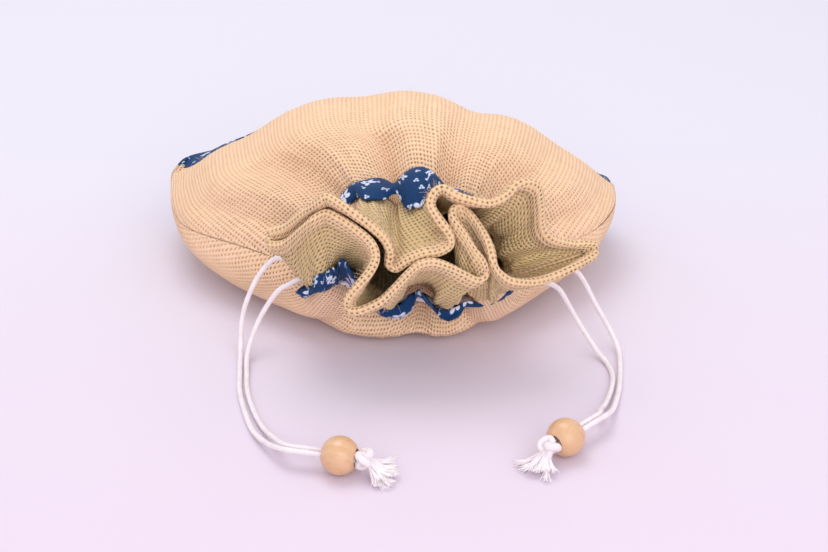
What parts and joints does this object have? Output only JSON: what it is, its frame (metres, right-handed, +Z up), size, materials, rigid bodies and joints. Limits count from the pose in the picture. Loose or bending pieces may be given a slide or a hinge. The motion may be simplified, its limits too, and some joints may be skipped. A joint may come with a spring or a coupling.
{
  "type": "jute drawstring pouch",
  "caption": "Stuffed jute drawstring pouch lying on its back, with a gathered ruffled mouth, a printed cotton base band, and cotton drawcords that end in sliding wooden beads",
  "frame": {"origin": "on the floor under the middle of the stuffed body, on the flat part of the back panel that the pouch rests on", "axes": "+X is the pouch's width, to the right as seen from its mouth, -Y is out of the mouth and +Z is up"},
  "size_m": [0.1992, 0.2159, 0.0801],
  "materials": {
    "jute": "matt plain-weave jute",
    "printed_cotton": "navy cotton with a pale print",
    "cord_cotton": "twisted undyed cotton",
    "bead_wood": "varnished light wood"
  },
  "bodies": {
    "pouch": {"front_panel": "jute", "back_panel": "jute", "base_band": "printed_cotton", "front_channel": "printed_cotton", "back_channel": "printed_cotton", "left_cord": "cord_cotton", "right_cord": "cord_cotton", "left_knot": "cord_cotton", "right_knot": "cord_cotton"},
    "left_bead": {"left_bead": "bead_wood"},
    "right_bead": {"right_bead": "bead_wood"}
  },
  "joints": [
    {"name": "left_bead_slide", "type": "slide", "parent": "pouch", "child": "left_bead", "axis": [-0.9703, 0.2419, 0], "range_m": [0, 0.012]},
    {"name": "right_bead_slide", "type": "slide", "parent": "pouch", "child": "right_bead", "axis": [0.7193, 0.6947, 0], "range_m": [0, 0.012]}
  ]
}
